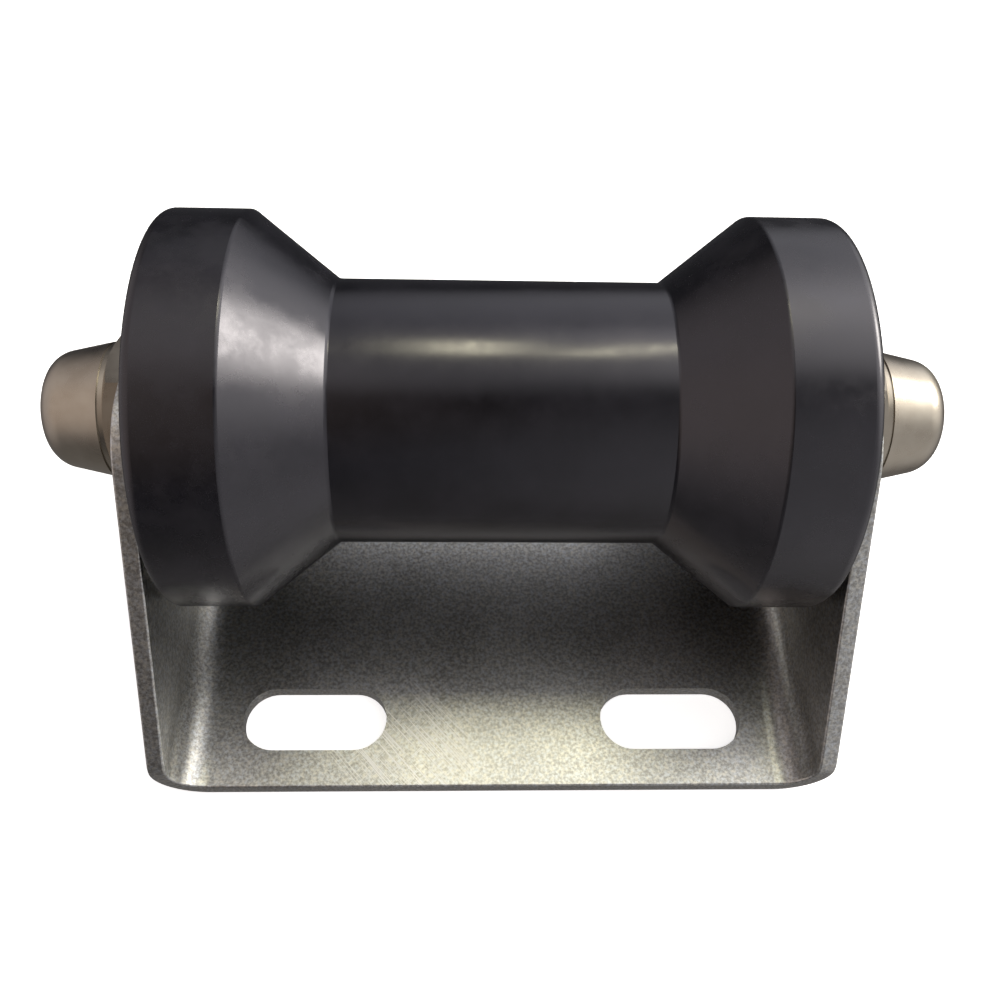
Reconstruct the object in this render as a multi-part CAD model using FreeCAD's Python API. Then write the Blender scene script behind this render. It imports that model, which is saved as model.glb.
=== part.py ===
import FreeCAD, Part
import math
import os

# Bow roller: a spool-shaped roller carried between the two upright ears of a folded
# stainless bracket.  The origin is the centre of the underside of the base plate, X runs
# along the axle, -Y is the front edge and Z is up.  Every length is in millimetres.

# Driving dimensions: bracket
plate_thickness = 3.5
bracket_width = 141.0
bracket_depth = 120.0
bend_inner_radius = 7.0
ear_corner_radius = 16.0
ear_corner_spacing = 17.6
foot_corner_radius = 6.0
ear_hole_diameter = 19.6
edge_break = 0.45
slot_spacing_x = 78.0
slot_spacing_y = 90.0
slot_length = 31.0
slot_width = 14.0

# Driving dimensions: roller
roller_length = 127.0
flange_diameter = 78.0
waist_diameter = 52.4
flange_width = 16.0
cone_length = 16.0
rim_radius = 2.0
edge_radius = 1.0

# Driving dimensions: axle set
axle_height = 54.5
axle_diameter = 19.0
axle_length = 164.0
axle_chamfer = 1.2
sleeve_outer_diameter = 25.4
sleeve_inner_diameter = 19.2
washer_thickness = 3.0
washer_diameter = 40.0
bush_outer_diameter = 31.0
bush_length = 26.0
bush_chamfer = 0.8
running_clearance = 0.05
relief_clearance = 1.3

# Driving dimensions: domed nuts
nut_across_flats = 27.0
nut_height = 19.1
nut_turn = -10.0
hex_height = 4.0
hex_chamfer_angle = 30.0
thread_clearance = 0.04
collar_diameter = 26.8
collar_height = 0.7
groove_width = 0.5
groove_depth = 0.35
dome_base_diameter = 26.8
dome_taper_angle = 12.5
dome_shoulder_radius = 6.0
dome_crown_radius = 20.0
nut_bore_depth = 12.5

# Worked-out dimensions
ear_inner_x = bracket_width / 2 - plate_thickness
ear_outer_x = bracket_width / 2
bend_outer_radius = bend_inner_radius + plate_thickness
sleeve_length = 2 * (ear_inner_x - washer_thickness)
axle_centre = FreeCAD.Vector(0, 0, axle_height)

X_AXIS = FreeCAD.Vector(1, 0, 0)
FULL_TURN = 360.0
HEXAGON_SIDES = 6
SAME_PLACE = 0.001


def point_on_axle(x, radius):
    """Point at a distance along the axle and a depth below its centre line."""
    return FreeCAD.Vector(x, 0, axle_height - radius)


def cylinder_on_axle(radius, x_start, x_end):
    """Solid cylinder on the axle line between two X positions, used to bore holes."""
    base = FreeCAD.Vector(x_start, 0, axle_height)
    return Part.makeCylinder(radius, x_end - x_start, base, X_AXIS)


def turned(edges):
    """Solid of revolution about the axle line, its seam on the side of the base plate."""
    face = Part.Face(Part.Wire(edges))
    return face.revolve(axle_centre, X_AXIS, FULL_TURN)


def path_edges(points):
    """Straight edges through the points in their order."""
    return [Part.makeLine(a, b) for a, b in zip(points, points[1:])]


def polygon_edges(points):
    """Straight edges through the points, closed back to the first one."""
    return path_edges(points + points[:1])


def tube_on_axle(outer_radius, inner_radius, x_start, x_end):
    """Plain tube on the axle line."""
    return turned(polygon_edges([
        point_on_axle(x_start, inner_radius),
        point_on_axle(x_start, outer_radius),
        point_on_axle(x_end, outer_radius),
        point_on_axle(x_end, inner_radius),
    ]))


def circular_edges_at(shape, x, radius):
    """Circular edges of a turned shape at one X position and radius."""
    found = []
    for edge in shape.Edges:
        if edge.Degenerated or not isinstance(edge.Curve, Part.Circle):
            continue
        curve = edge.Curve
        same_radius = abs(curve.Radius - radius) < SAME_PLACE
        same_x = abs(curve.Center.x - x) < SAME_PLACE
        if same_radius and same_x:
            found.append(edge)
    return found


def channel():
    """The folded sheet before its ears are trimmed: a wide U seen along Y."""
    top = axle_height + ear_corner_radius + plate_thickness
    outer = Part.makeBox(bracket_width, bracket_depth, top,
                         FreeCAD.Vector(-ear_outer_x, -bracket_depth / 2, 0))
    inner = Part.makeBox(2 * ear_inner_x, bracket_depth, top,
                         FreeCAD.Vector(-ear_inner_x, -bracket_depth / 2, plate_thickness))

    def bottom_corners(box):
        long_edges = [edge for edge in box.Edges if edge.BoundBox.YLength > bracket_depth / 2]
        return [edge for edge in long_edges
                if edge.BoundBox.ZMax < box.BoundBox.ZMin + plate_thickness]

    outer = outer.makeFillet(bend_outer_radius, bottom_corners(outer))
    inner = inner.makeFillet(bend_inner_radius, bottom_corners(inner))
    return outer.cut(inner)


def bracket_outline():
    """Open side outline of the bracket from the front foot over the ear to the back foot."""
    half = bracket_depth / 2
    foot_corner = FreeCAD.Vector(0, -half + foot_corner_radius, bend_outer_radius)
    ear_corner = FreeCAD.Vector(0, -ear_corner_spacing / 2, axle_height)
    rise = ear_corner - foot_corner
    spread = math.acos((foot_corner_radius - ear_corner_radius) / rise.Length)
    slope_normal = math.atan2(rise.z, rise.y) + spread
    front = math.pi
    upward = math.pi / 2

    def on_circle(centre, radius, angle, mirror):
        y = centre.y + radius * math.cos(angle)
        z = centre.z + radius * math.sin(angle)
        return FreeCAD.Vector(-bracket_width, mirror * y, z)

    def arc_points(centre, radius, first, last, mirror):
        angles = (first, (first + last) / 2, last)
        return [on_circle(centre, radius, angle, mirror) for angle in angles]

    def front_side(mirror):
        foot = FreeCAD.Vector(-bracket_width, -mirror * half, 0)
        low = arc_points(foot_corner, foot_corner_radius, front, slope_normal, mirror)
        high = arc_points(ear_corner, ear_corner_radius, slope_normal, upward, mirror)
        return foot, low, high

    foot, low, high = front_side(1)
    back_foot, back_low, back_high = front_side(-1)
    return [
        Part.makeLine(foot, low[0]),
        Part.Arc(*low).toShape(),
        Part.makeLine(low[-1], high[0]),
        Part.Arc(*high).toShape(),
        Part.makeLine(high[-1], back_high[-1]),
        Part.Arc(*reversed(back_high)).toShape(),
        Part.makeLine(back_high[0], back_low[-1]),
        Part.Arc(*reversed(back_low)).toShape(),
        Part.makeLine(back_low[0], back_foot),
    ]


def outline_block(outline):
    """Block as wide as two brackets with the side outline of the bracket."""
    front_foot = outline[0].firstVertex().Point
    back_foot = outline[-1].lastVertex().Point
    face = Part.Face(Part.Wire(outline + [Part.makeLine(back_foot, front_foot)]))
    return face.extrude(X_AXIS * (2 * bracket_width))


def outline_edges(shape, outline):
    """Long edges of the cut sheet, leaving out the short ones that cross its thickness."""
    wire = Part.Wire(outline)

    def on_outline(point):
        seen_from_side = FreeCAD.Vector(-bracket_width, point.y, point.z)
        return Part.Vertex(seen_from_side).distToShape(wire)[0] < SAME_PLACE

    found = []
    for edge in shape.Edges:
        first, last = edge.ParameterRange
        points = [edge.valueAt(first), edge.valueAt((first + last) / 2), edge.valueAt(last)]
        crosses_sheet = edge.Length < plate_thickness + edge_break
        if not crosses_sheet and all(on_outline(point) for point in points):
            found.append(edge)
    return found


def slot(x, y):
    """Round-ended slot cutter running along X, centred on a point of the base."""
    radius = slot_width / 2
    half_straight = slot_length / 2 - radius
    bottom = -plate_thickness
    height = 2 * plate_thickness - bottom
    middle = Part.makeBox(2 * half_straight, slot_width, height,
                          FreeCAD.Vector(x - half_straight, y - radius, bottom))
    ends = [Part.makeCylinder(radius, height, FreeCAD.Vector(x + side * half_straight, y, bottom))
            for side in (-1, 1)]
    return middle.fuse(ends).removeSplitter()


def bracket():
    """One folded plate: slotted base, two upright ears with the axle holes."""
    outline = bracket_outline()
    shape = channel().common(outline_block(outline))
    shape = shape.makeFillet(edge_break, outline_edges(shape, outline))
    shape = shape.cut(cylinder_on_axle(ear_hole_diameter / 2, -bracket_width, bracket_width))
    for x in (-slot_spacing_x / 2, slot_spacing_x / 2):
        for y in (-slot_spacing_y / 2, slot_spacing_y / 2):
            shape = shape.cut(slot(x, y))
    return shape


def roller():
    """Moulded spool: two flanges, two cones and a waist, bored for the bushes."""
    end = roller_length / 2
    flange_edge = end - flange_width
    waist_edge = flange_edge - cone_length
    flange_radius = flange_diameter / 2
    waist_radius = waist_diameter / 2
    points = [
        point_on_axle(-end, 0),
        point_on_axle(-end, flange_radius),
        point_on_axle(-flange_edge, flange_radius),
        point_on_axle(-waist_edge, waist_radius),
        point_on_axle(waist_edge, waist_radius),
        point_on_axle(flange_edge, flange_radius),
        point_on_axle(end, flange_radius),
        point_on_axle(end, 0),
    ]
    body = turned(polygon_edges(points))
    for side in (-1, 1):
        body = body.makeFillet(rim_radius, circular_edges_at(body, side * end, flange_radius))
        corners = circular_edges_at(body, side * flange_edge, flange_radius)
        corners += circular_edges_at(body, side * waist_edge, waist_radius)
        body = body.makeFillet(edge_radius, corners)
    body = body.cut(cylinder_on_axle(sleeve_outer_diameter / 2 + relief_clearance, -end, end))
    for x_start in (-end, end - bush_length):
        body = body.cut(cylinder_on_axle(bush_outer_diameter / 2, x_start, x_start + bush_length))
    return body


def bush(side):
    """Plain bearing bush pressed into one end of the roller, flush with its face."""
    outer = bush_outer_diameter / 2
    inner = sleeve_outer_diameter / 2 + running_clearance
    end = side * roller_length / 2
    deep = side * (roller_length / 2 - bush_length)
    inward = -side * bush_chamfer
    points = [
        point_on_axle(end, inner + bush_chamfer),
        point_on_axle(end, outer),
        point_on_axle(deep, outer),
        point_on_axle(deep, inner),
        point_on_axle(end + inward, inner),
    ]
    return turned(polygon_edges(points))


def spacer_sleeve():
    """Tube clamped between the washers, on which the roller turns."""
    half = sleeve_length / 2
    return tube_on_axle(sleeve_outer_diameter / 2, sleeve_inner_diameter / 2, -half, half)


def thrust_washer(side):
    """Flat washer between one ear and the end of the sleeve."""
    inner_x = side * sleeve_length / 2
    outer_x = side * ear_inner_x
    shape = tube_on_axle(washer_diameter / 2, sleeve_inner_diameter / 2,
                         min(inner_x, outer_x), max(inner_x, outer_x))
    rims = circular_edges_at(shape, inner_x, washer_diameter / 2)
    return shape.makeChamfer(edge_break, rims)


def axle():
    """Straight stud through both ears, chamfered at its two threaded ends."""
    half = axle_length / 2
    radius = axle_diameter / 2
    return turned(polygon_edges([
        point_on_axle(-half, 0),
        point_on_axle(-half, radius - axle_chamfer),
        point_on_axle(-half + axle_chamfer, radius),
        point_on_axle(half - axle_chamfer, radius),
        point_on_axle(half, radius - axle_chamfer),
        point_on_axle(half, 0),
    ]))


def nut_skirt():
    """Hexagonal base of the domed nut with its outer corners turned off."""
    corner_radius = nut_across_flats / math.sqrt(3)
    corners = []
    for index in range(HEXAGON_SIDES):
        angle = math.radians(FULL_TURN / HEXAGON_SIDES * index + nut_turn)
        corners.append(FreeCAD.Vector(ear_outer_x, corner_radius * math.cos(angle),
                                      axle_height + corner_radius * math.sin(angle)))
    hexagon = Part.Face(Part.Wire(polygon_edges(corners))).extrude(X_AXIS * hex_height)
    top = ear_outer_x + hex_height
    flat_radius = nut_across_flats / 2
    limit_radius = nut_across_flats
    fall = (limit_radius - flat_radius) * math.tan(math.radians(hex_chamfer_angle))
    cone = turned(polygon_edges([
        point_on_axle(top - fall - hex_height, 0),
        point_on_axle(top - fall - hex_height, limit_radius),
        point_on_axle(top - fall, limit_radius),
        point_on_axle(top, flat_radius),
        point_on_axle(top, 0),
    ]))
    return hexagon.common(cone)


def crown_meeting(base_x, crown_centre):
    """X position and radius where the tapered wall of the dome meets its crown."""
    taper = math.tan(math.radians(dome_taper_angle))
    wall_at_centre = dome_base_diameter / 2 - taper * (crown_centre - base_x)
    steepness = 1 + taper ** 2
    reach = math.sqrt(steepness * dome_crown_radius ** 2 - wall_at_centre ** 2)
    from_centre = (taper * wall_at_centre + reach) / steepness
    return crown_centre + from_centre, wall_at_centre - taper * from_centre


def nut_dome():
    """Collar, narrow groove and tapered cap with a rounded end that close the nut."""
    start = ear_outer_x + hex_height
    tip = ear_outer_x + nut_height
    groove_start = start + collar_height
    groove_end = groove_start + groove_width
    neck_radius = dome_base_diameter / 2 - groove_depth
    crown_centre = tip - dome_crown_radius
    meeting_x, meeting_radius = crown_meeting(groove_end, crown_centre)
    half_angle = math.atan2(meeting_radius, meeting_x - crown_centre) / 2
    crown_middle = point_on_axle(crown_centre + dome_crown_radius * math.cos(half_angle),
                                 dome_crown_radius * math.sin(half_angle))
    wall = [
        point_on_axle(start, 0),
        point_on_axle(start, collar_diameter / 2),
        point_on_axle(groove_start, collar_diameter / 2),
        point_on_axle(groove_start, neck_radius),
        point_on_axle(groove_end, neck_radius),
        point_on_axle(groove_end, dome_base_diameter / 2),
        point_on_axle(meeting_x, meeting_radius),
    ]
    crown = Part.Arc(wall[-1], crown_middle, point_on_axle(tip, 0)).toShape()
    closing = Part.makeLine(point_on_axle(tip, 0), wall[0])
    dome = turned(path_edges(wall) + [crown, closing])
    rim = circular_edges_at(dome, meeting_x, meeting_radius)
    return dome.makeFillet(dome_shoulder_radius, rim)


def domed_nut(side):
    """Domed nut screwed on one end of the axle against the outside of the ear."""
    shape = nut_skirt().fuse(nut_dome())
    bore = cylinder_on_axle(axle_diameter / 2 + thread_clearance, ear_outer_x,
                            ear_outer_x + nut_bore_depth)
    shape = shape.cut(bore).removeSplitter()
    if side < 0:
        shape = shape.mirror(FreeCAD.Vector(0, 0, 0), X_AXIS)
    return shape


def build_parts():
    """Every separate piece of the bow roller by node name."""
    parts = {
        "bracket": bracket(),
        "roller": roller(),
        "axle": axle(),
        "spacer_sleeve": spacer_sleeve(),
    }
    for name, side in (("left", -1), ("right", 1)):
        parts["bush_" + name] = bush(side)
        parts["thrust_washer_" + name] = thrust_washer(side)
        parts["domed_nut_" + name] = domed_nut(side)
    return parts


os.makedirs("parts", exist_ok=True)
for node_name, node_shape in build_parts().items():
    node_shape.exportStep("parts/" + node_name + ".step")
    print(node_name, node_shape.isValid(), len(node_shape.Solids), round(node_shape.Volume, 1))
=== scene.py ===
import math

import bpy
from mathutils import Matrix, Vector


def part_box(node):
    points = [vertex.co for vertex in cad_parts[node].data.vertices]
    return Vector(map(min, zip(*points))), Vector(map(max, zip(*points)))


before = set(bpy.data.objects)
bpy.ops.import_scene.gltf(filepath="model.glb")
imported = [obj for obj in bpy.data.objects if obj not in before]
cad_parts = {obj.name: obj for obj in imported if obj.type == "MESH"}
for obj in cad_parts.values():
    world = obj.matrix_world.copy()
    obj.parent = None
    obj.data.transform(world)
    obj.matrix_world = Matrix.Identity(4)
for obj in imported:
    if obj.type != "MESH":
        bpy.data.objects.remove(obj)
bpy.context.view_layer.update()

# Places taken from the frame, in metres
AXLE_LOW, AXLE_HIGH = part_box("axle")
AXLE_CENTRE = (Vector(AXLE_LOW) + Vector(AXLE_HIGH)) / 2
BRACKET_LOW = Vector(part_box("bracket")[0])
MM = 0.001

# Camera: where it stands round the axle, in degrees and metres
CAMERA_AZIMUTH = -4.06
CAMERA_ELEVATION = 56.52
CAMERA_ROLL = 3.72
CAMERA_DISTANCE = 0.20539
CAMERA_SIDE_SHIFT = 0.00027
CAMERA_UP_SHIFT = -0.01762
CAMERA_LENS_MM = 36.557
SENSOR_WIDTH_MM = 36.0
CAMERA_NEAREST = 0.01

# Studio floor: its width in metres, its shades and its own faint light
FLOOR_WIDTH = 6.0
FLOOR_DARKER = (0.90, 0.90, 0.90)
FLOOR_LIGHTER = (0.92, 0.92, 0.92)
FLOOR_GLOW = 0.7

# Lamps: all at one distance from the axle and of one warm white; each has a name, the
# direction it hangs in, its width and height in metres, and how bright its face looks
LAMP_DISTANCE = 0.7
LAMP_COLOUR = (1.0, 0.97, 0.66)
LAMPS = (
    ("overhead_lamp_left", (-0.002, 0.285, 0.958), (0.035, 0.14), 20.5),
    ("overhead_lamp_right", (0.195, 0.265, 0.944), (0.04, 0.16), 10.0),
)

# Room round the object: its even shade, then soft patches of light, each given as the
# direction it is seen in, the angles from that where it ends and is full, and its colour
BACKDROP = (1.0, 1.0, 1.0, 1.0)
ROOM_SHADE = (0.05, 0.05, 0.055)
ROOM_GLOWS = (
    # ceiling above the roller
    ((0.0, 0.12, 0.99), 36, 12, (0.50, 0.495, 0.49)),
    # wall behind the bracket
    ((0.35, 0.75, 0.56), 45, 12, (0.70, 0.70, 0.74)),
    # ceiling towards the window
    ((0.50, 0.2, 0.84), 36, 10, (0.95, 0.93, 0.90)),
    # window on the right
    ((0.84, 0.25, 0.48), 18, 1, (13.2, 12.7, 11.5)),
    # wall round the window
    ((0.80, 0.25, 0.50), 50, 20, (1.0, 0.98, 0.95)),
    # left wall
    ((-0.85, -0.05, 0.40), 70, 20, (0.62, 0.56, 0.55)),
    # right wall towards the front
    ((0.8, -0.55, 0.1), 70, 25, (0.56, 0.55, 0.55)),
    # faint warm light from the front left
    ((-0.6, -0.45, 0.6), 50, 10, (0.10, 0.06, 0.02)),
    # floor in front
    ((0.0, -0.3, -0.95), 80, 20, (0.15, 0.14, 0.13)),
)

# Half the length of the roller's waist, and how far past it the smooth rubber fades out
WAIST_HALF = 31.5 * MM
WAIST_FADE = 2 * MM

# Place on the base where handling left a patch of scratches, beside the front left slot:
# they are thick within the first radius and thin beyond the second
SCRATCHED_SPOT = (-0.020, -0.052, 0.0035)
SCRATCHES_THICK = 6 * MM
SCRATCHES_THIN = 20 * MM
SCRATCHES_ELSEWHERE = 0.07

# How much finer a pattern is along each axis, to draw it out into lines
THIN_LINES = (1, 40, 40)
TURNING_LINES = (60, 1, 1)
DRAWING_LINES = (1, 60, 60)

# Values between which nearly all of a noise pattern lies
NOISE_LOW = 0.3
NOISE_HIGH = 0.7

# Colour sockets of the Mix node, which share their names with its number sockets
MIX_FIRST = 6
MIX_SECOND = 7
MIX_RESULT = 2


class Graph:
    """A material's node tree with short calls for the nodes that the finishes share."""

    def __init__(self, name):
        self.material = bpy.data.materials.new(name)
        self.material.use_nodes = True
        self.tree = self.material.node_tree
        self.tree.nodes.clear()
        self.output = self.add("ShaderNodeOutputMaterial")
        self.shader = self.add("ShaderNodeBsdfPrincipled")
        self.join(self.shader.outputs["BSDF"], self.output.inputs["Surface"])
        self.place = self.add("ShaderNodeTexCoord").outputs["Object"]

    def add(self, kind):
        return self.tree.nodes.new(kind)

    def join(self, source, target):
        self.tree.links.new(source, target)

    def set(self, socket, value):
        """Gives the shader one value all over the surface."""
        self.shader.inputs[socket].default_value = value

    def drive(self, socket, source):
        """Lets a pattern decide a value of the shader."""
        self.join(source, self.shader.inputs[socket])

    def stretched(self, scale, turn=(0, 0, 0)):
        """Object coordinates turned, then scaled by a different amount along each axis."""
        turned = self.add("ShaderNodeMapping")
        turned.inputs["Rotation"].default_value = [math.radians(angle) for angle in turn]
        self.join(self.place, turned.inputs["Vector"])
        scaled = self.add("ShaderNodeMapping")
        scaled.inputs["Scale"].default_value = scale
        self.join(turned.outputs["Vector"], scaled.inputs["Vector"])
        return scaled.outputs["Vector"]

    def noise(self, scale, detail, roughness, vector=None):
        """Cloudy pattern; a larger scale is finer, and detail and roughness break it up."""
        node = self.add("ShaderNodeTexNoise")
        node.inputs["Scale"].default_value = scale
        node.inputs["Detail"].default_value = detail
        node.inputs["Roughness"].default_value = roughness
        self.join(vector or self.place, node.inputs["Vector"])
        return node.outputs["Fac"]

    def off_middle(self):
        """Distance from the middle of the roller, measured along the axle, in metres."""
        node = self.add("ShaderNodeSeparateXYZ")
        self.join(self.place, node.inputs["Vector"])
        return self.combine("ABSOLUTE", node.outputs["X"], 0.0)

    def distance_to(self, point):
        """Distance from a point of the frame, in metres."""
        node = self.add("ShaderNodeVectorMath")
        node.operation = "DISTANCE"
        node.inputs[1].default_value = point
        self.join(self.place, node.inputs[0])
        return node.outputs["Value"]

    def remap(self, source, low, high, out_low=0.0, out_high=1.0):
        """Stretches a span of the source over another span and stops at its ends."""
        node = self.add("ShaderNodeMapRange")
        node.inputs["From Min"].default_value = low
        node.inputs["From Max"].default_value = high
        node.inputs["To Min"].default_value = out_low
        node.inputs["To Max"].default_value = out_high
        self.join(source, node.inputs["Value"])
        return node.outputs["Result"]

    def spread(self, noise, out_low=0.0, out_high=1.0):
        """A noise pattern made to run all the way from one value to the other."""
        return self.remap(noise, NOISE_LOW, NOISE_HIGH, out_low, out_high)

    def combine(self, operation, first, second):
        """Sum, product or the like of two values, each a number or a node's output."""
        node = self.add("ShaderNodeMath")
        node.operation = operation
        for index, value in enumerate((first, second)):
            if isinstance(value, (int, float)):
                node.inputs[index].default_value = value
            else:
                self.join(value, node.inputs[index])
        return node.outputs["Value"]

    def blend(self, factor, first, second):
        """Mix of two colours, each a colour or the output of another node."""
        node = self.add("ShaderNodeMix")
        node.data_type = "RGBA"
        self.join(factor, node.inputs["Factor"])
        for index, value in ((MIX_FIRST, first), (MIX_SECOND, second)):
            if isinstance(value, tuple):
                node.inputs[index].default_value = (*value, 1.0)
            else:
                self.join(value, node.inputs[index])
        return node.outputs[MIX_RESULT]

    def bump(self, height, depth, strength, under=None):
        """Relief of the given depth in metres, on top of another relief if there is one."""
        node = self.add("ShaderNodeBump")
        node.inputs["Strength"].default_value = strength
        node.inputs["Distance"].default_value = depth
        self.join(height, node.inputs["Height"])
        if under is not None:
            self.join(under, node.inputs["Normal"])
        return node.outputs["Normal"]


def scratch_marks(g):
    """Crossed fine scratches: thick in one patch of the base, thin everywhere else."""
    away = g.distance_to(SCRATCHED_SPOT)
    patch = g.remap(away, SCRATCHES_THICK, SCRATCHES_THIN, 1.0, SCRATCHES_ELSEWHERE)
    long_way = g.stretched(THIN_LINES, turn=(0, 0, 48))
    cross_way = g.stretched(THIN_LINES, turn=(0, 0, -44))
    long_lines = g.noise(scale=70, detail=1, roughness=0.6, vector=long_way)
    cross_lines = g.noise(scale=90, detail=1, roughness=0.6, vector=cross_way)
    long_marks = g.remap(long_lines, 0.54, 0.64)
    cross_marks = g.remap(cross_lines, 0.56, 0.68, out_high=0.6)
    return g.combine("MULTIPLY", g.combine("MAXIMUM", long_marks, cross_marks), patch)


def rolled_stainless():
    """Satin stainless sheet: fine sparkling grain, broad uneven sheen and scratches."""
    dark_warm, dark_cool = (0.29, 0.28, 0.26), (0.34, 0.335, 0.325)
    light_warm, light_cool = (0.62, 0.60, 0.545), (0.58, 0.60, 0.62)
    scratched = (0.78, 0.77, 0.76)
    g = Graph("rolled_stainless_sheet")
    g.set("Metallic", 1.0)
    broad = g.noise(scale=35, detail=3, roughness=0.55)
    grain = g.noise(scale=1500, detail=3, roughness=0.7)
    tint = g.noise(scale=1100, detail=2, roughness=0.6)
    marks = scratch_marks(g)
    dark = g.blend(g.spread(broad), dark_warm, dark_cool)
    light = g.blend(g.remap(tint, 0.4, 0.6), light_warm, light_cool)
    tone = g.blend(g.remap(grain, 0.38, 0.61), dark, light)
    g.drive("Base Color", g.blend(marks, tone, scratched))
    rough = g.combine("ADD", g.spread(broad, 0.33, 0.39), g.spread(grain, -0.02, 0.03))
    g.drive("Roughness", g.combine("ADD", rough, g.combine("MULTIPLY", marks, 0.12)))
    ripple = g.noise(scale=300, detail=2, roughness=0.5)
    g.drive("Normal", g.bump(ripple, depth=0.01 * MM, strength=0.4))
    return g.material


def moulded_rubber():
    """Black roller compound: semi-gloss with clouds, shallow waves and dull smudges."""
    deep_black, worn_black = (0.0016, 0.0015, 0.0024), (0.0046, 0.0042, 0.0062)
    g = Graph("moulded_black_rubber")
    clouds = g.noise(scale=110, detail=5, roughness=0.65)
    smudges = g.noise(scale=75, detail=5, roughness=0.7)
    waves = g.noise(scale=70, detail=3, roughness=0.5)
    pores = g.noise(scale=2000, detail=2, roughness=0.6)
    g.drive("Base Color", g.blend(g.remap(clouds, 0.35, 0.65), deep_black, worn_black))
    polish = g.spread(clouds, 0.14, 0.23)
    wear = g.remap(g.off_middle(), WAIST_HALF, WAIST_HALF + WAIST_FADE, 0.25, 1.0)
    dull = g.combine("MULTIPLY", g.remap(smudges, 0.40, 0.62, 0.0, 0.15), wear)
    g.drive("Roughness", g.combine("ADD", polish, dull))
    g.set("IOR", 1.67)
    g.set("Specular Tint", (0.95, 0.92, 1.0, 1.0))
    fine = g.bump(pores, depth=0.006 * MM, strength=0.4)
    g.drive("Normal", g.bump(waves, depth=0.05 * MM, strength=0.6, under=fine))
    return g.material


def polished_stainless():
    """Bright nut: soft sheen, fine turning lines round the axle and handling marks."""
    shaded, bright = (0.37, 0.325, 0.265), (0.46, 0.42, 0.355)
    g = Graph("polished_stainless_nut")
    g.set("Metallic", 1.0)
    clouds = g.noise(scale=120, detail=3, roughness=0.6)
    rings = g.stretched(TURNING_LINES)
    turning = g.noise(scale=60, detail=2, roughness=0.6, vector=rings)
    marks = g.noise(scale=900, detail=2, roughness=0.6)
    g.drive("Base Color", g.blend(g.spread(clouds), shaded, bright))
    g.drive("Roughness", g.spread(clouds, 0.24, 0.34))
    height = g.combine("ADD", turning, g.combine("MULTIPLY", marks, 0.4))
    g.drive("Normal", g.bump(height, depth=0.008 * MM, strength=0.5))
    return g.material


def drawn_stainless():
    """Plain bar, tube and washers: smooth metal with fine lines along the axle."""
    shaded, bright = (0.56, 0.55, 0.53), (0.66, 0.65, 0.64)
    g = Graph("drawn_stainless")
    g.set("Metallic", 1.0)
    clouds = g.noise(scale=150, detail=3, roughness=0.6)
    lengthwise = g.stretched(DRAWING_LINES)
    lines = g.noise(scale=50, detail=2, roughness=0.6, vector=lengthwise)
    g.drive("Base Color", g.blend(g.spread(clouds), shaded, bright))
    g.drive("Roughness", g.spread(lines, 0.25, 0.38))
    g.drive("Normal", g.bump(lines, depth=0.01 * MM, strength=0.5))
    return g.material


def bearing_plastic():
    """Natural off-white bearing plastic with a faint cloudy tone."""
    cream, white = (0.70, 0.67, 0.58), (0.78, 0.76, 0.69)
    g = Graph("bearing_plastic")
    clouds = g.noise(scale=200, detail=3, roughness=0.6)
    g.drive("Base Color", g.blend(g.spread(clouds), cream, white))
    g.drive("Roughness", g.spread(clouds, 0.4, 0.5))
    pits = g.noise(scale=2500, detail=2, roughness=0.6)
    g.drive("Normal", g.bump(pits, depth=0.01 * MM, strength=0.5))
    return g.material


def floor_paper():
    """Plain pale studio floor."""
    g = Graph("studio_floor")
    clouds = g.noise(scale=3, detail=2, roughness=0.5)
    g.drive("Base Color", g.blend(clouds, FLOOR_DARKER, FLOOR_LIGHTER))
    g.set("Roughness", 0.9)
    g.set("Specular IOR Level", 0.1)
    g.set("Emission Color", (1.0, 1.0, 1.0, 1.0))
    g.set("Emission Strength", FLOOR_GLOW)
    return g.material


def dress(node, material):
    """Gives every material slot of a CAD node one finish."""
    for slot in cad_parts[node].material_slots:
        slot.material = material


def finish_nodes():
    """Each CAD node gets the finish of the real piece."""
    sheet = rolled_stainless()
    bright = polished_stainless()
    plain = drawn_stainless()
    plastic = bearing_plastic()
    dress("bracket", sheet)
    dress("roller", moulded_rubber())
    dress("axle", plain)
    dress("spacer_sleeve", plain)
    for side in ("left", "right"):
        dress("domed_nut_" + side, bright)
        dress("thrust_washer_" + side, plain)
        dress("bush_" + side, plastic)


def add_floor():
    """Wide pale floor that the bracket stands on; the metal mirrors the room, not this."""
    half = FLOOR_WIDTH / 2
    corners = [(-half, -half), (half, -half), (half, half), (-half, half)]
    mesh = bpy.data.meshes.new("floor")
    mesh.from_pydata([(x, y, BRACKET_LOW.z) for x, y in corners], [], [range(len(corners))])
    floor = bpy.data.objects.new("floor", mesh)
    floor.data.materials.append(floor_paper())
    floor.visible_glossy = False
    bpy.context.scene.collection.objects.link(floor)


def add_lamp(name, direction, size, radiance):
    """Area light facing the axle, given by how bright its face looks."""
    width, height = size
    light = bpy.data.lights.new(name, "AREA")
    light.shape = "RECTANGLE"
    light.size = width
    light.size_y = height
    light.energy = radiance * math.pi * width * height
    light.color = LAMP_COLOUR
    lamp = bpy.data.objects.new(name, light)
    back = Vector(direction).normalized()
    lamp.location = AXLE_CENTRE + back * LAMP_DISTANCE
    lamp.rotation_euler = back.to_track_quat("Z", "Y").to_euler()
    bpy.context.scene.collection.objects.link(lamp)


def add_lamps():
    """Two small warm lamps overhead, a little behind the roller."""
    for name, direction, size, radiance in LAMPS:
        add_lamp(name, direction, size, radiance)


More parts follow.
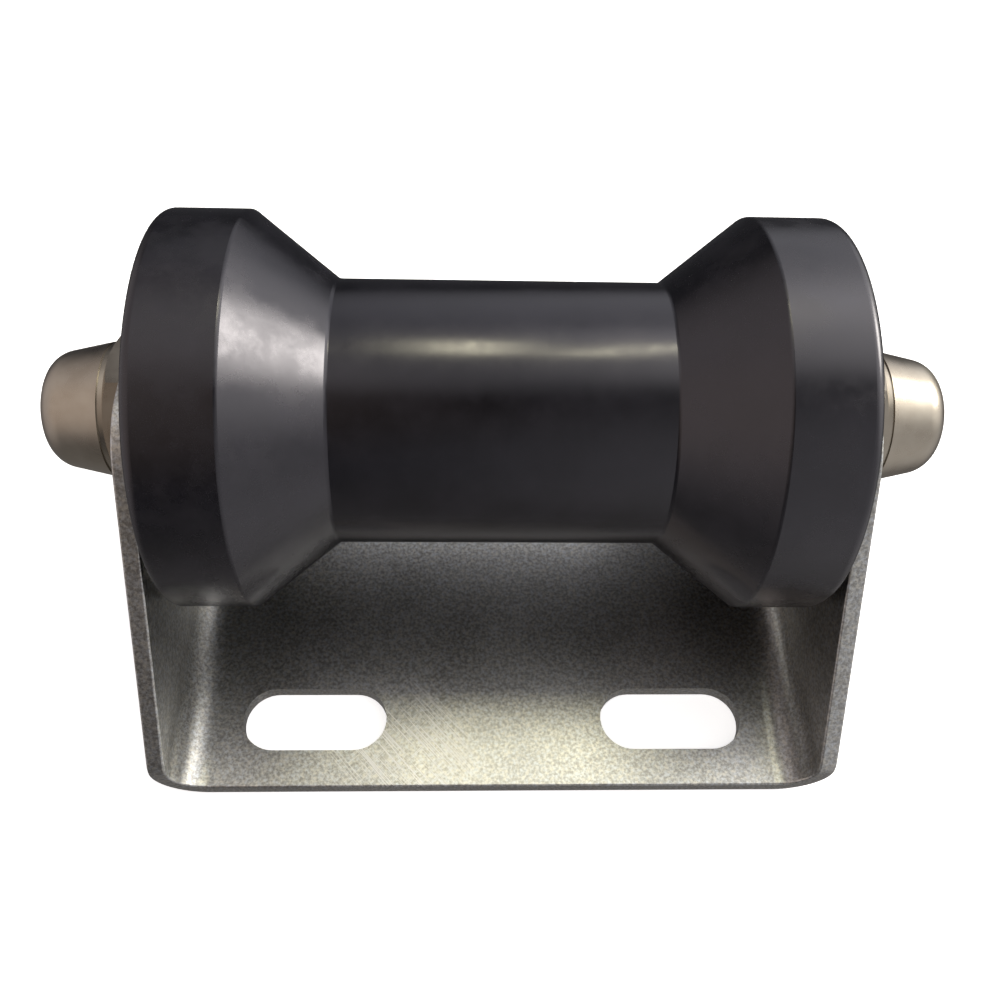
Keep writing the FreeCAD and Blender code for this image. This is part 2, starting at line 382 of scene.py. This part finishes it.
def room_glow(tree, view, glow, before):
    """Adds one soft patch of light on the room's walls or ceiling to the room's colour."""
    direction, rim, core, colour = glow
    facing = tree.nodes.new("ShaderNodeVectorMath")
    facing.operation = "DOT_PRODUCT"
    facing.inputs[1].default_value = Vector(direction).normalized()
    tree.links.new(view, facing.inputs[0])
    fade = tree.nodes.new("ShaderNodeMapRange")
    fade.interpolation_type = "SMOOTHSTEP"
    fade.inputs["From Min"].default_value = math.cos(math.radians(rim))
    fade.inputs["From Max"].default_value = math.cos(math.radians(core))
    tree.links.new(facing.outputs["Value"], fade.inputs["Value"])
    patch = tree.nodes.new("ShaderNodeVectorMath")
    patch.operation = "MULTIPLY_ADD"
    patch.inputs[0].default_value = colour
    tree.links.new(fade.outputs["Result"], patch.inputs[1])
    tree.links.new(before, patch.inputs[2])
    return patch.outputs["Vector"]


def room_colour(tree):
    """Colour of the room in every direction: its even shade with all the glows on top."""
    view = tree.nodes.new("ShaderNodeTexCoord").outputs["Generated"]
    start = tree.nodes.new("ShaderNodeCombineXYZ")
    for index, level in enumerate(ROOM_SHADE):
        start.inputs[index].default_value = level
    colour = start.outputs["Vector"]
    for glow in ROOM_GLOWS:
        colour = room_glow(tree, view, glow, colour)
    return colour


def add_room():
    """Dim studio room that the object mirrors, while the camera sees a white backdrop."""
    world = bpy.data.worlds.new("studio_room")
    world.use_nodes = True
    tree = world.node_tree
    room = tree.nodes["Background"]
    tree.links.new(room_colour(tree), room.inputs["Color"])
    backdrop = tree.nodes.new("ShaderNodeBackground")
    backdrop.inputs["Color"].default_value = BACKDROP
    ray = tree.nodes.new("ShaderNodeLightPath")
    # Of the two mixed shaders, reflections see the first and the camera the second
    mix = tree.nodes.new("ShaderNodeMixShader")
    tree.links.new(ray.outputs["Is Camera Ray"], mix.inputs["Fac"])
    tree.links.new(room.outputs["Background"], mix.inputs[1])
    tree.links.new(backdrop.outputs["Background"], mix.inputs[2])
    tree.links.new(mix.outputs["Shader"], tree.nodes["World Output"].inputs["Surface"])
    bpy.context.scene.world = world


def camera_axes():
    """Directions to the camera's right, up and back, with its roll."""
    azimuth = math.radians(CAMERA_AZIMUTH)
    elevation = math.radians(CAMERA_ELEVATION)
    roll = math.radians(CAMERA_ROLL)
    back = Vector((math.sin(azimuth) * math.cos(elevation),
                   -math.cos(azimuth) * math.cos(elevation), math.sin(elevation)))
    right = Vector((math.cos(azimuth), math.sin(azimuth), 0))
    up = back.cross(right)
    rolled_right = right * math.cos(roll) + up * math.sin(roll)
    rolled_up = up * math.cos(roll) - right * math.sin(roll)
    return rolled_right, rolled_up, back


def add_camera():
    """Camera standing close above the front edge, slightly to the left and rolled."""
    right, up, back = camera_axes()
    place = (AXLE_CENTRE + back * CAMERA_DISTANCE + right * CAMERA_SIDE_SHIFT
             + up * CAMERA_UP_SHIFT)
    turn = Matrix((right, up, back)).transposed().to_4x4()
    data = bpy.data.cameras.new("camera")
    data.lens = CAMERA_LENS_MM
    data.sensor_width = SENSOR_WIDTH_MM
    data.clip_start = CAMERA_NEAREST
    camera = bpy.data.objects.new("camera", data)
    camera.matrix_world = Matrix.Translation(place) @ turn
    bpy.context.scene.collection.objects.link(camera)
    bpy.context.scene.camera = camera


finish_nodes()
add_floor()
add_room()
add_lamps()
add_camera()
bpy.context.scene.view_settings.view_transform = "Standard"
